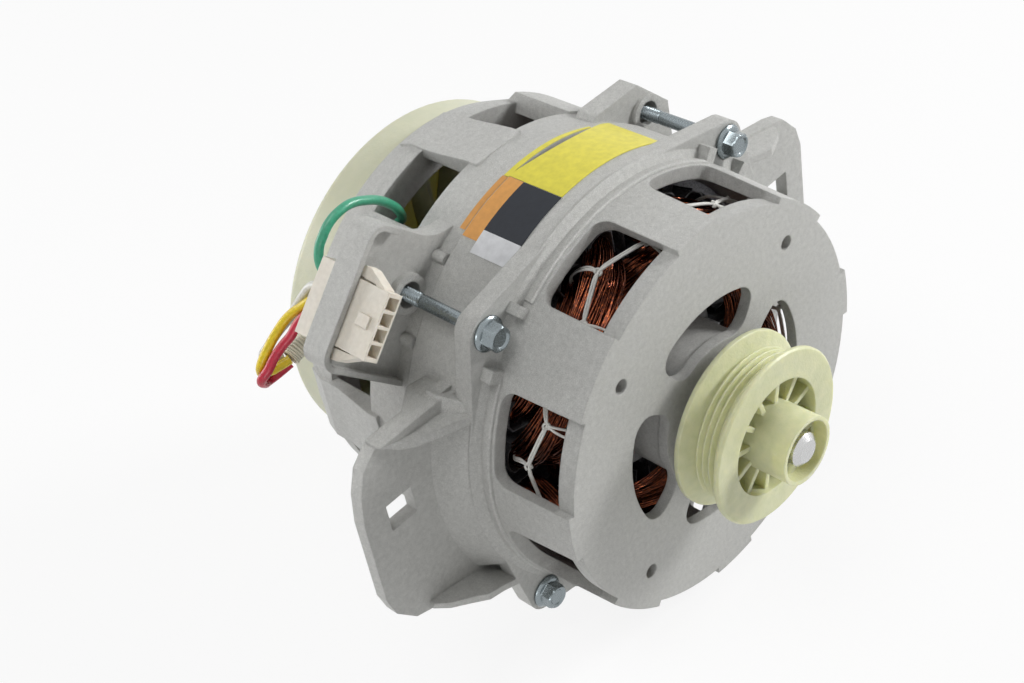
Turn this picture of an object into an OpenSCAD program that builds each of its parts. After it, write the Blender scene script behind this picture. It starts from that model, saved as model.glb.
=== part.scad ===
// Washing machine motor: a wound stator clamped between two cast end shields, a rotor on two ball
// bearings, a ribbed belt pulley in front and a cooling fan behind.
// The shaft runs along Y with the pulley toward minus Y, the mounting ears point along X, Z is up.
// The origin is on the shaft axis, in the plane of the front face.

/* [What to show] */

/* [Front end shield] */
// Radius of the flat front face where it is cut back before the windows
face_r = 70.2; // [60:0.1:80]
// Radius of the wall at the front face
wall_front_r = 72.5; // [60:0.1:80]
// Radius of the wall where it meets the shoulder
wall_rear_r = 74.5; // [60:0.1:85]
// Thickness of the front face and of the wall
shell_t = 4; // [2:0.1:6]
// Where the shoulder begins
shoulder_y = 34.5; // [20:0.1:45]
// Radius of the shoulder
shoulder_r = 79; // [75:0.1:90]
// Front of the bolting flange
flange_y = 36; // [20:0.1:50]
// Thickness of the bolting flange
flange_t = 7; // [3:0.1:12]
// Outer radius of the skirt round the stator
skirt_r = 77.8; // [74:0.1:85]
// Rear edge of the skirt
skirt_end_y = 67; // [50:0.1:80]
// Radius of the bolt lugs
lug_r = 7.8; // [6:0.1:12]
// Radius of the circle that the bolt lugs are on
lug_circle_r = 82.5; // [75:0.1:95]
// Front edge of the side windows
window_y0 = 6.3; // [4:0.1:15]
// Rear edge of the side windows
window_y1 = 30; // [20:0.1:34]
// Angle from each bolt to the windows beside it
window_angle = 24.25; // [18:0.05:30]
// Half of the angle that a side window spans
window_half = 13.25; // [8:0.05:18]
// Corner radius of the side windows
window_corner = 5; // [1:0.1:8]
// Inner radius of the curved vents in the front face
vent_r0 = 26; // [24:0.1:40]
// Outer radius of the curved vents
vent_r1 = 43; // [35:0.1:60]
// Half of the angle that a curved vent spans
vent_half = 34.5; // [20:0.1:40]
// Corner radius of the curved vents
vent_corner = 6.5; // [1:0.1:8]
// Radius of the circle of the four small face holes
face_hole_circle_r = 58.5; // [50:0.1:65]
// Radius of a small face hole
face_hole_r = 2.6; // [1:0.1:5]

/* [Mounting ears] */
// Front of the ear plates
ear_y = 48; // [40:0.1:60]
// Thickness of the ear plates
ear_t = 5; // [3:0.1:10]
// Distance of the square holes from the shaft axis, along X
ear_hole_x = 98; // [85:0.1:110]
// Height of the square holes above the shaft axis
ear_hole_z = 9; // [-20:0.1:20]
// Side of the square holes
ear_hole_side = 10.8; // [6:0.1:16]
// Radius of the cone's foot on the ear plates
ear_foot_r = 84.5; // [80:0.1:95]

/* [Rear end shield] */
// Gap between the two shields
parting_gap = 0.4; // [0.2:0.1:2]
// Outer radius of the front band
band_r = 77; // [74:0.1:85]
// Outer radius of the band at its rear edge
band_end_r = 76; // [73:0.1:85]
// Rear edge of the front band
band_end_y = 86; // [75:0.1:95]
// Front edge of the back ring
back_ring_y = 109; // [95:0.1:120]
// Rear face of the back ring
back_face_y = 123; // [115:0.1:130]
// Outer radius of the back ring
back_ring_r = 73.4; // [70:0.1:85]
// Outer radius of the raised webs behind the bolt lugs
web_r = 77; // [73:0.1:80]
// Radius of the open back
back_opening_r = 61.9; // [50:0.1:70]
// Distance of the flat ribs from the axis at the band
rib_reach = 76.4; // [74:0.1:80]
// Distance of the flat outside of the bolt lugs from the axis
rear_lug_reach = 90.2; // [88:0.1:100]
// Front of the screw bosses
boss_y = 70.5; // [68:0.1:76]
// Rear of the bolt lugs
rear_lug_end_y = 80; // [76:0.1:90]
// Radius of a screw boss
boss_r = 7; // [5:0.1:9]

/* [Connector tray] */
// Distance of the tray's outer wall from the axis
tray_reach = 110; // [100:0.1:120]
// Upper end of the tray, measured across its radius
tray_top = -19; // [-30:0.1:-10]
// Lower end of the tray
tray_bottom = 29.5; // [20:0.1:40]
// Front of the tray's rim
tray_y = 70; // [66:0.1:76]
// Front of the tray's floor
tray_floor_y = 73; // [71:0.1:78]
// Thickness of the tray's rim
tray_rim_t = 2; // [1:0.1:8]

/* [Bolts] */
// Radius of the circle of the four through bolts
bolt_circle_r = 83; // [78:0.1:90]
// Radius of a bolt's plain shank
bolt_shank_r = 2.35; // [1.5:0.05:4]
// Radius of a bolt over its thread
bolt_thread_r = 2.5; // [1.5:0.05:4]
// Radius of the flange under a bolt's head
bolt_flange_r = 6; // [4:0.1:9]
// Size of the hexagon across its flats
bolt_hex = 8; // [6:0.1:12]
// Height of the head
bolt_head_h = 6; // [3:0.1:8]

/* [Stator] */
// Outer radius of the lamination stack
stack_r = 71; // [60:0.1:75]
// Front of the stack
stack_y0 = 40; // [35:0.1:50]
// Rear of the stack
stack_y1 = 80; // [60:0.1:90]
// Radius of the stator bore
stator_bore_r = 36.5; // [30:0.1:45]
// Number of slots
slots = 24; // [12:1:36]
// Radius of the slot bottoms
slot_bottom_r = 64; // [55:0.1:68]
// Radius of the inner end of the slots
slot_top_r = 40; // [38:0.1:50]
// Width of a tooth
tooth_w = 5; // [3:0.1:8]
// Width of the slot mouth
slot_mouth = 3; // [2:0.1:5]
// How far the slot liners stand out of the stack
liner_cuff = 3; // [1:0.1:6]
// Thickness of a slot liner
liner_t = 0.5; // [0.3:0.1:1]

/* [Windings] */
// Radius of the bundle that a winding is made of
bundle_r = 2.2; // [1:0.1:3]
// Radius of the outer layer of the main winding
main_r1 = 60.6; // [55:0.1:62]
// Radius of the inner layer of the main winding
main_r0 = 55; // [48:0.1:58]
// Radius of the starting winding
start_r = 47; // [43:0.1:52]
// How far the first end turn stands off the stack
turn_reach = 9; // [6:0.1:12]
// Step from one end turn to the next
turn_step = 6; // [5:0.1:8]
// Radius of the lacing cord
lacing_r = 0.7; // [0.5:0.1:1.5]

/* [Bearings] */
// Outer radius of a ball bearing
bearing_r1 = 20; // [15:0.1:26]
// Bore radius of a ball bearing
bearing_r0 = 8.5; // [5:0.1:12]
// Width of a ball bearing
bearing_w = 12; // [8:0.1:16]
// Front of the front bearing
front_bearing_y = 6; // [4:0.1:12]
// Front of the rear bearing
rear_bearing_y = 102.5; // [95:0.1:110]
// Radius of a ball
ball_r = 3.1; // [2:0.1:4]
// Number of balls in a bearing
balls = 8; // [6:1:10]

/* [Shaft and rotor] */
// Radius of the shaft's ends
shaft_end_r = 6; // [4:0.1:8]
// Radius of the shaft between the bearings
shaft_mid_r = 10; // [8:0.1:14]
// Front end of the shaft
shaft_y0 = -36; // [-50:0.1:-20]
// Rear end of the shaft
shaft_y1 = 140; // [120:0.1:150]
// Radial gap between rotor and stator
air_gap = 0.3; // [0.2:0.05:0.6]
// Length of the cage's end rings
end_ring_l = 8; // [4:0.1:12]

/* [Pulley] */
// Radius of the pulley's flanges
pulley_r = 30.8; // [25:0.1:40]
// Radius over the belt ribs
pulley_rib_r = 26.6; // [20:0.1:30]
// Depth of the belt grooves
groove_depth = 1.8; // [1:0.1:3]
// Number of belt grooves
grooves = 4; // [3:1:8]
// Rear edge of the rear flange
pulley_y1 = -6.7; // [-12:0.1:-4]
// Front of the front flange
pulley_y0 = -24.1; // [-35:0.1:-18]
// Radius of the hub
pulley_hub_r = 12; // [9:0.1:16]
// Front end of the hub
pulley_hub_y = -35.7; // [-40:0.1:-25]
// Radius of the recess in front
pulley_recess_r = 20.5; // [16:0.1:25]
// Number of spokes in the recess
pulley_spokes = 12; // [6:1:16]

/* [Fan] */
// Radius of the fan's rim
fan_r = 66.6; // [55:0.1:75]
// Front edge of the fan's rim
fan_y0 = 124.6; // [122:0.1:130]
// Rear of the fan
fan_y1 = 141.1; // [135:0.1:150]
// Thickness of the fan's walls
fan_t = 2.2; // [1.5:0.1:4]
// Number of vanes
fan_vanes = 16; // [8:1:24]
// Radius of the fan's hub
fan_hub_r = 13; // [9:0.1:18]

/* [Connector and leads] */
// Front of the connector housing
plug_y0 = 57; // [50:0.1:65]
// Rear of the connector housing
plug_y1 = 88; // [80:0.1:95]
// Inner side of the housing, measured from the axis
plug_in = 101.3; // [95:0.1:105]
// Outer side of the housing
plug_out = 107.4; // [103:0.1:109]
// Upper end of the housing, measured across its radius
plug_top = -1.2; // [-6:0.1:4]
// Lower end of the housing
plug_bottom = 20.8; // [15:0.1:26]
// Distance between neighbouring contacts
contact_pitch = 5.08; // [4:0.01:6]
// Radius of a lead
lead_r = 1.6; // [1:0.1:2.5]
// Radius of the sleeve round the leads
sleeve_r = 3.5; // [2:0.1:5]

/* [Labels] */
// Thickness of a label
label_t = 0.2; // [0.1:0.05:0.5]
// Front edge of the labels
label_y0 = 44; // [43:0.1:55]
// Rear edge of the labels
label_y1 = 66.4; // [60:0.1:67]
// Angle where the yellow label begins
label_a0 = 63; // [50:0.5:80]
// Angle where the yellow label ends and the coloured one begins
label_a1 = 99; // [90:0.5:110]
// Angle where the coloured label ends
label_a2 = 122; // [112:0.5:130]

/* [Hidden] */
$fn = 72;
metal = [0.72, 0.72, 0.7];
steel = [0.6, 0.62, 0.64];
copper = [0.55, 0.25, 0.12];
nylon = [0.85, 0.86, 0.68];
bolt_angles = [45, 135, 225, 315];
quarter_angles = [0, 90, 180, 270];
fit = 0.03;
loose = 0.3;

register_l = 10;
register_r = stack_r + fit;
relief_r = 73.2;
stop_r = 67;
boss_outer_r = 25.5;
boss_depth = 20;
shaft_hole_r = 14;
bearing_seat_r = bearing_r1 + fit;
bolt_hole_r = bolt_thread_r + 0.25;
tap_r = bolt_thread_r + fit;
tray_angle = 135;
tray_corner = 6;

// A flat shape drawn with X across and Z up, made solid from y0 to y1
module slab(y0, y1) {
    translate([0, y1, 0]) rotate([90, 0, 0]) linear_extrude(height = y1 - y0) children();
}

// A profile of radius and y, turned round the shaft axis
module turned(points) {
    rotate([-90, 0, 0]) rotate_extrude() polygon(points);
}

// The same between two angles
module turned_part(points, a0, a1) {
    rotate([0, -a1, 0]) rotate([-90, 0, 0]) rotate_extrude(angle = a1 - a0) polygon(points);
}

// Turns what is drawn along X to an angle round the shaft axis
module at_angle(a) {
    rotate([0, -a, 0]) children();
}

// A flat shape drawn with y across and the tangent up, made solid along the radius
module radial(x0, x1) {
    translate([x0, 0, 0]) rotate([90, 0, 90]) linear_extrude(height = x1 - x0) children();
}

function arc(c, r, a0, a1, n) =
    [for (i = [0:n]) let(a = a0 + (a1 - a0) * i / n) [c[0] + r * cos(a), c[1] + r * sin(a)]];

function row(p, q, n) = n < 2 ? [] : [for (i = [1:n - 1]) p + (q - p) * i / n];

// A rectangle about its middle with round corners, its long sides in m pieces
function round_box(w, h, r, n = 5, m = 1) = concat(
    arc([w / 2 - r, h / 2 - r], r, 0, 90, n),
    row([w / 2 - r, h / 2], [r - w / 2, h / 2], m),
    arc([r - w / 2, h / 2 - r], r, 90, 180, n),
    arc([r - w / 2, r - h / 2], r, 180, 270, n),
    row([r - w / 2, -h / 2], [w / 2 - r, -h / 2], m),
    arc([w / 2 - r, r - h / 2], r, 270, 360, n));

// Outline of a side window: square at the face, round at the rear corners
function window_line(l, half) = concat(
    arc([l / 2 - window_corner, half - window_corner], window_corner, 0, 90, 5),
    [[-l / 2, half], [-l / 2, -half]],
    arc([l / 2 - window_corner, window_corner - half], window_corner, 270, 360, 5));

// The same rectangle bent round the axis, between two radii
function bent_box(r0, r1, half, r, n = 5, m = 10) =
    let(rm = (r0 + r1) / 2, w = 2 * half * PI / 180 * rm)
    [for (p = round_box(w, r1 - r0, r, n, m))
        let(a = p[0] / rm * 180 / PI, q = rm + p[1]) [q * cos(a), q * sin(a)]];

// Tube along points: six or eight sides, its rings set square to the run
function unit(v) = v / norm(v);
function heading(p, i) = unit(p[min(i + 1, len(p) - 1)] - p[max(i - 1, 0)]);
function side_of(t, p) =
    let(o = unit([p[0], 0.001, p[2]])) unit(o - (o * t) * t);
function tube_rings(p, r, n) = [for (i = [0:len(p) - 1])
    let(t = heading(p, i), u = side_of(t, p[i]), v = cross(t, u))
    for (k = [0:n - 1]) p[i] + r * cos(360 * k / n) * u + r * sin(360 * k / n) * v];
function tube_faces(m, n) = concat(
    [for (k = [1:n - 2]) [0, k, k + 1]],
    [for (i = [0:m - 2]) for (k = [0:n - 1])
        let(a = i * n + k, b = i * n + (k + 1) % n) each [[a, a + n, b], [b, a + n, b + n]]],
    [for (k = [1:n - 2]) let(o = (m - 1) * n) [o, o + k + 1, o + k]]);
module tube(p, r, n) {
    polyhedron(points = tube_rings(p, r, n), faces = tube_faces(len(p), n));
}

// Front end shield
lug_tangent = acos((skirt_r - lug_r) / lug_circle_r);
web_foot_r = skirt_r - 0.6;
lug_web = [[web_foot_r * cos(lug_tangent), web_foot_r * sin(lug_tangent)],
           [web_foot_r * cos(lug_tangent), -web_foot_r * sin(lug_tangent)],
           [lug_circle_r + lug_r * cos(lug_tangent), -lug_r * sin(lug_tangent)],
           [lug_circle_r + lug_r * cos(lug_tangent), lug_r * sin(lug_tangent)]];
front_shell = [[shaft_hole_r, 0], [wall_front_r, 0], [wall_rear_r, shoulder_y],
               [shoulder_r, shoulder_y + 2], [skirt_r, shoulder_y + 3.5],
               [skirt_r, skirt_end_y], [relief_r, skirt_end_y],
               [relief_r, stack_y0 + register_l], [register_r, stack_y0 + register_l],
               [register_r, stack_y0], [stop_r, stack_y0], [stop_r, stack_y0 - 2],
               [wall_rear_r - shell_t - 1, shoulder_y - 1],
               [wall_front_r - shell_t, shell_t], [boss_outer_r, shell_t],
               [boss_outer_r, boss_depth], [bearing_seat_r, boss_depth],
               [bearing_seat_r, front_bearing_y], [shaft_hole_r, front_bearing_y]];
ridge = [[relief_r - 1, 31.2], [75, 31.2], [75.4, 31.8], [75.4, 33.4], [75, shoulder_y + 0.6],
         [relief_r - 1, shoulder_y + 0.6]];
ear_back = ear_y + ear_t - 1;
ear_cone = [[relief_r + 1, shoulder_y + 1.8], [shoulder_r - 1, shoulder_y + 1.8],
            [ear_foot_r, ear_y], [ear_foot_r, ear_back], [relief_r + 1, ear_back]];
ear_outline = [[-60, 38.5], [-100, 38.5], [-103, 36.5], [-107.5, 32.5], [-111, 24], [-112.8, 13],
               [-113.2, -21], [-111, -29], [-104, -37], [-98, -39], [-86, -41], [-60, -47]];
upper_gusset = [[-60, 30.5], [-72, 30.5], [-82, 31.2], [-90, 32], [-95, 34], [-100, 38],
                [-101.5, 38.5], [-99.5, 38.5], [-94, 36.3], [-88, 35.2], [-76, 34.2], [-60, 33.8]];
upper_back = [[-60, 31], [-76, 31], [-95, 34], [-101, 38.5], [-77, 38.6], [-71, 37.5], [-60, 35]];
lower_gusset = [[-60, -46], [-66, -44], [-77, -40], [-86, -37.5], [-97.5, -35.5], [-98, -37.8],
                [-88, -40], [-76, -43], [-60, -49]];
gusset_y = flange_y + 0.2;
upper_gusset_side = [[-60, gusset_y], [-70, gusset_y], [-98.5, ear_y - 2], [-102, ear_y - 0.5],
                     [-102, ear_back], [-60, ear_back]];
upper_back_side = [[-60, ear_y - 2], [-102, ear_y - 2], [-102, ear_y + ear_t],
                   [-85, ear_y + ear_t], [-76, ear_y + 12], [-60, ear_y + 12]];
lower_gusset_side = [[-60, gusset_y], [-82, gusset_y], [-94, ear_y - 5.5],
                     [-98.5, ear_y - 1], [-98.5, ear_back], [-60, ear_back]];

// A wall drawn flat, cut to its side view
module gusset(foot, side) {
    intersection() {
        slab(flange_y, ear_y + 14) polygon(foot);
        translate([0, 0, -60]) linear_extrude(height = 120) polygon(side);
    }
}

// Shallow notch in the skirt's rear edge
notch_angle = 82;
notch_y = 64.2;
notch_r = 80;
module notch(x0, x1) {
    at_angle(notch_angle) radial(x0, x1) translate([notch_y + notch_r, 0])
        circle(r = notch_r, $fn = 180);
}

module ear() {
    slab(ear_y, ear_y + ear_t) polygon(ear_outline);
    gusset(upper_gusset, upper_gusset_side);
    gusset(upper_back, upper_back_side);
    gusset(lower_gusset, lower_gusset_side);
}

module front_shield() color(metal) difference() {
    union() {
        turned(front_shell);
        difference() {
            union() {
                slab(flange_y, flange_y + flange_t) union() {
                    for (a = bolt_angles) rotate(a) translate([lug_circle_r, 0]) circle(r = lug_r);
                    for (a = bolt_angles) rotate(a) polygon(lug_web);
                }
                turned_part(ear_cone, 152, 207);
                turned_part(ear_cone, -28, 27);
                ear();
                rotate([0, 180, 0]) ear();
                for (a = [38, 128, 308]) at_angle(a)
                    translate([relief_r, 31.5, -1.8]) cube([6, 6, 3.6]);
                for (a = [54, 144, 234, 324]) at_angle(a)
                    translate([relief_r, 31.5, -2.2]) cube([6.5, 6, 4.4]);
                for (a = bolt_angles) turned_part(ridge, a + 10, a + 80);
            }
            slab(flange_y - 1, skirt_end_y) circle(r = relief_r + 0.5);
            slab(flange_y - 20, flange_y - 1.5) circle(r = relief_r - 0.3);
        }
    }
    for (a = bolt_angles) for (s = [-1, 1]) at_angle(a + s * window_angle) {
        radial(wall_front_r - 12, wall_front_r + 10)
            translate([(window_y0 + window_y1) / 2, 0])
            polygon(window_line(window_y1 - window_y0, wall_front_r * sin(window_half)));
        turned_part([[face_r, -1], [face_r + 10, -1], [face_r + 10, window_y0 + 1],
                     [face_r, window_y0 + 1]], -window_half, window_half);
    }
    for (a = quarter_angles) at_angle(a) slab(-1, shell_t + 1)
        polygon(bent_box(vent_r0, vent_r1, vent_half, vent_corner));
    for (a = bolt_angles) at_angle(a) {
        translate([face_hole_circle_r, -1, 0]) rotate([-90, 0, 0])
            cylinder(r = face_hole_r, h = shell_t + 2, $fn = 32);
        translate([bolt_circle_r, flange_y - 1, 0]) rotate([-90, 0, 0])
            cylinder(r = bolt_hole_r, h = flange_t + 2, $fn = 32);
        translate([bolt_circle_r, flange_y - 6, 0]) rotate([-90, 0, 0])
            cylinder(r = bolt_flange_r + 0.3, h = 6, $fn = 48);
    }
    notch(skirt_r - 8, skirt_r + 4);
    for (s = [-1, 1]) translate([s * ear_hole_x, ear_y - 1, ear_hole_z])
        translate([-ear_hole_side / 2, 0, -ear_hole_side / 2])
        cube([ear_hole_side, ear_t + 2, ear_hole_side]);
}

// Rear end shield
band_y = skirt_end_y + parting_gap;
rear_stop_y = stack_y1;
band = [[relief_r, band_y], [band_r, band_y], [band_end_r, band_end_y], [stop_r + 0.5, band_end_y],
        [stop_r + 0.5, rear_stop_y], [register_r, rear_stop_y],
        [register_r, rear_stop_y - register_l], [relief_r, rear_stop_y - register_l]];
ring_in_r = back_ring_r - 3.6;
back_ring = [[back_ring_r, back_ring_y], [back_ring_r, back_ring_y + 5],
             [back_ring_r - 2.4, back_ring_y + 12], [back_ring_r - 3.2, back_face_y],
             [back_ring_r - 5.9, back_face_y],
             [ring_in_r, back_ring_y + 10], [ring_in_r, back_ring_y + 3.2],
             [back_opening_r, back_ring_y + 3.2], [back_opening_r, back_ring_y]];
web = [[ring_in_r, band_end_y - 1], [web_r, band_end_y - 1], [web_r, back_ring_y + 1.5],
       [back_ring_r - 1, back_ring_y + 5], [ring_in_r, back_ring_y + 1]];
rear_hub_r = 24;
rear_hub = [[bearing_seat_r, 99], [rear_hub_r, 99], [rear_hub_r, 119], [shaft_hole_r, 119],
            [shaft_hole_r, 116], [bearing_seat_r, 116]];
rear_lug = [[rear_lug_reach, -10], [rear_lug_reach, 10], [rear_lug_reach - 15.5, 25.5],
            [60, 25.5], [60, -25.5], [rear_lug_reach - 15.5, -25.5]];
rib = [[ring_in_r, band_end_y - 4], [rib_reach, band_end_y - 4], [rib_reach, band_end_y],
       [back_ring_r + 0.2, back_ring_y - 4], [back_ring_r + 0.2, back_ring_y + 5],
       [back_ring_r - 2, back_ring_y + 11.5], [ring_in_r, back_ring_y + 11.5]];
web_spans = [[27, 63], [121, 150], [207, 243], [297, 333]];
rib_spans = [[-10, 10], [83, 99], [170, 190], [262, 278]];
tray_outer = concat([[60, tray_top - 6], [72.5, tray_top - 6], [75.5, tray_top - 3.6],
                     [78.5, tray_top - 1.6], [82, tray_top - 0.4], [85.5, tray_top],
                     [tray_reach - tray_corner, tray_top]],
                    arc([tray_reach - tray_corner, tray_top + tray_corner], tray_corner, -75, -15, 4),
                    [[tray_reach, tray_top + tray_corner], [tray_reach, tray_bottom - tray_corner]],
                    arc([tray_reach - tray_corner, tray_bottom - tray_corner], tray_corner, 15, 75, 4),
                    [[tray_reach - tray_corner, tray_bottom], [60, tray_bottom]]);
pocket_out = tray_reach - tray_rim_t;
pocket_top = tray_top + tray_rim_t;
pocket_bottom = tray_bottom - tray_rim_t;
pocket_corner = 4;
tray_pocket = concat([[60, tray_top - 8], [96, tray_top - 8], [98.5, pocket_top],
                      [pocket_out - pocket_corner, pocket_top]],
                     arc([pocket_out - pocket_corner, pocket_top + pocket_corner], pocket_corner,
                         -75, -15, 3),
                     arc([pocket_out - pocket_corner, pocket_bottom - pocket_corner],
                         pocket_corner, 15, 75, 3),
                     [[pocket_out - pocket_corner, pocket_bottom], [60, pocket_bottom]]);
plug_gap = 0.2;
boss_bore_r = 4.5;
boss_bore_d = 4.5;
tag_angle = 126.5;
tag_r = 65.9;
earth_screw_r = 1.9;
pry_nub_angles = [124.3, 145.7];
pry_nub_r = 2;

module rear_shield() color(metal) difference() {
    union() {
        turned(band);
        turned(back_ring);
        for (w = web_spans) turned_part(web, w[0], w[1]);
        difference() {
            union() {
                for (w = rib_spans) at_angle((w[0] + w[1]) / 2)
                    translate([0, 0, -band_r * sin((w[1] - w[0]) / 2)])
                    linear_extrude(height = 2 * band_r * sin((w[1] - w[0]) / 2)) polygon(rib);
                for (a = [45, 225, 315]) at_angle(a)
                    slab(boss_y + 1.5, rear_lug_end_y) polygon(rear_lug);
                for (a = bolt_angles) at_angle(a) translate([bolt_circle_r, boss_y, 0])
                    rotate([-90, 0, 0]) cylinder(r = boss_r, h = rear_lug_end_y - boss_y, $fn = 48);
                difference() {
                    at_angle(tray_angle) slab(tray_y, rear_lug_end_y) polygon(tray_outer);
                    difference() {
                        at_angle(tray_angle) slab(tray_y - 1, tray_floor_y) polygon(tray_pocket);
                        at_angle(tray_angle) translate([bolt_circle_r, boss_y, 0])
                            rotate([-90, 0, 0]) cylinder(r = boss_r, h = 10, $fn = 48);
                    }
                }
            }
            slab(band_y - 1, band_end_y - 2) circle(r = relief_r + 1);
            slab(band_end_y - 3, back_face_y) circle(r = ring_in_r + 0.3);
        }
        turned(rear_hub);
        for (a = bolt_angles) at_angle(a) translate([rear_hub_r - 1, back_ring_y - 3, -6])
            cube([back_opening_r - rear_hub_r + 3, 6.2, 12]);
        for (a = pry_nub_angles) at_angle(a) translate([band_r, band_y + 0.3, 0])
            rotate([-90, 0, 0]) cylinder(r = pry_nub_r, h = 5, $fn = 32);
    }
    for (a = bolt_angles) at_angle(a) translate([bolt_circle_r, boss_y - 1, 0])
        rotate([-90, 0, 0]) {
            cylinder(r = tap_r, h = 14, $fn = 32);
            cylinder(r = boss_bore_r, h = boss_bore_d + 1, $fn = 48);
        }
    at_angle(tray_angle) translate([plug_in - plug_gap, tray_y, plug_top - plug_gap])
        cube([plug_out - plug_in + 2 * plug_gap, 20, plug_bottom - plug_top + 2 * plug_gap]);
    at_angle(tag_angle) translate([tag_r, back_ring_y - 1, 0]) rotate([-90, 0, 0])
        cylinder(r = earth_screw_r + fit, h = 8, $fn = 24);
}

// Stator stack
slot_pitch = 360 / slots;
function slot_half(r) = r * sin(slot_pitch / 2) - tooth_w / 2;
slot_shape = [[slot_top_r, -slot_half(slot_top_r)], [slot_bottom_r, -slot_half(slot_bottom_r)],
              [slot_bottom_r, slot_half(slot_bottom_r)], [slot_top_r, slot_half(slot_top_r)]];
function slot_angle(k) = slot_pitch * (k + 0.5);

module stator_core() color(steel) slab(stack_y0, stack_y1) difference() {
    circle(r = stack_r, $fn = 144);
    circle(r = stator_bore_r, $fn = 144);
    for (k = [0:slots - 1]) rotate(slot_angle(k)) {
        polygon(slot_shape);
        translate([stator_bore_r - 2, -slot_mouth / 2])
            square([slot_top_r - stator_bore_r + 3, slot_mouth]);
    }
}

// A slot liner is a channel with its open side to the bore
liner_gap = 0.05;
function liner_ring(r0, o) = [[r0, o - slot_half(r0)],
                              [slot_bottom_r - o, o - slot_half(slot_bottom_r - o)],
                              [slot_bottom_r - o, slot_half(slot_bottom_r - o) - o],
                              [r0, slot_half(r0) - o]];
module slot_liners() color([0.3, 0.3, 0.32]) for (k = [0:slots - 1])
    slab(stack_y0 - liner_cuff, stack_y1 + liner_cuff) rotate(slot_angle(k)) difference() {
        polygon(liner_ring(slot_top_r + 1, liner_gap));
        polygon(liner_ring(slot_top_r, liner_gap + liner_t));
    }

// Windings: loops through the slots, with end turns that step outward
turn_pts = 10;
turn_power = 0.55;
function sgn_pow(v, p) = sign(v) * pow(abs(v), p);
function end_turn(a, b, ra, rb, y, reach, last = turn_pts) = [for (i = [0:last])
    let(f = 180 * i / turn_pts, t = (1 - sgn_pow(cos(f), turn_power)) / 2,
        ang = a + (b - a) * t, r = ra + (rb - ra) * t)
    [r * cos(ang), y + reach * pow(sin(f) + 0.0001, turn_power), r * sin(ang)]];
slot_out = 1;
function reach(k) = turn_reach + turn_step * k;
main_near = 1.5 * slot_pitch;
main_far = 2.5 * slot_pitch;
front_mouth = stack_y0 - slot_out;
rear_mouth = stack_y1 + slot_out;
function main_path(c) = concat(
    [[main_r1 * cos(c - main_near), front_mouth, main_r1 * sin(c - main_near)]],
    end_turn(c - main_near, c + main_near, main_r1, main_r1, rear_mouth, reach(0)),
    end_turn(c + main_near, c - main_near, main_r1, main_r0, front_mouth, -reach(0)),
    end_turn(c - main_near, c + main_near, main_r0, main_r0, rear_mouth, reach(0)),
    end_turn(c + main_near, c - main_far, main_r0, main_r1, front_mouth, -reach(1)),
    end_turn(c - main_far, c + main_far, main_r1, main_r1, rear_mouth, reach(1)),
    end_turn(c + main_far, c - main_far, main_r1, main_r0, front_mouth, -reach(2)),
    end_turn(c - main_far, c + main_far, main_r0, main_r0, rear_mouth, reach(1)),
    end_turn(c + main_far, c - main_far, main_r0, main_r0, front_mouth, -reach(3), 7));
function start_path(c) = concat(
    [[start_r * cos(c - main_near), front_mouth, start_r * sin(c - main_near)]],
    end_turn(c - main_near, c + main_near, start_r, start_r, rear_mouth, reach(0)),
    end_turn(c + main_near, c - main_far, start_r, start_r, front_mouth, -reach(0)),
    end_turn(c - main_far, c + main_far, start_r, start_r, rear_mouth, reach(1)),
    end_turn(c + main_far, c - main_far, start_r, start_r, front_mouth, -reach(1), 7));

module main_winding() color(copper) for (c = bolt_angles) tube(main_path(c), bundle_r, 6);
module start_winding() color(copper) for (c = quarter_angles) tube(start_path(c), bundle_r, 6);

// Least gap of a winding to itself, from points at the middle of every third of a piece
function thirds(p) = [for (i = [0:len(p) - 2]) for (k = [0:2]) p[i] + (p[i + 1] - p[i]) * k / 3];
function self_gap(p, r) = let(q = thirds(p), n = len(q))
    min([for (i = [0:n - 1]) for (j = [i + 1:1:n - 1])
        let(d = norm(q[i] - q[j]), run = j - i)
        if (run > 9 && d < 20) d]) - 2 * r;

// Lacing cord: one run that goes up and down over the front end turns
lacing_path_r = main_r1 + bundle_r + lacing_r + 0.3;
lacing_bights = 24;
lacing_pts = 96;
lacing_y0 = 17;
lacing_y1 = 31;
lacing_path = [for (i = [0:lacing_pts - 1])
    let(a = 358 * i / (lacing_pts - 1), s = sin(a * lacing_bights / 2))
    [lacing_path_r * cos(a), (lacing_y0 + lacing_y1) / 2
        + (lacing_y1 - lacing_y0) / 2 * s, lacing_path_r * sin(a)]];
module lacing_cord() color([0.9, 0.9, 0.86]) tube(lacing_path, lacing_r, 6);

// Through bolts with a flanged hexagon head
bolt_end_y = rear_lug_end_y + 1;
thread_y = boss_y - 6;
bolt_flange_h = 1.5;
module through_bolts() color(steel) for (a = bolt_angles) at_angle(a)
    translate([bolt_circle_r, 0, 0]) rotate([-90, 0, 0]) {
        translate([0, 0, flange_y - bolt_flange_h])
            cylinder(r = bolt_flange_r, h = bolt_flange_h, $fn = 48);
        translate([0, 0, flange_y - bolt_head_h]) rotate(15)
            cylinder(r = bolt_hex / 2 / cos(30), h = bolt_head_h, $fn = 6);
        translate([0, 0, flange_y - 0.5])
            cylinder(r = bolt_shank_r, h = thread_y - flange_y + 1, $fn = 32);
        translate([0, 0, thread_y]) cylinder(r = bolt_thread_r, h = bolt_end_y - thread_y, $fn = 32);
    }

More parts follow.
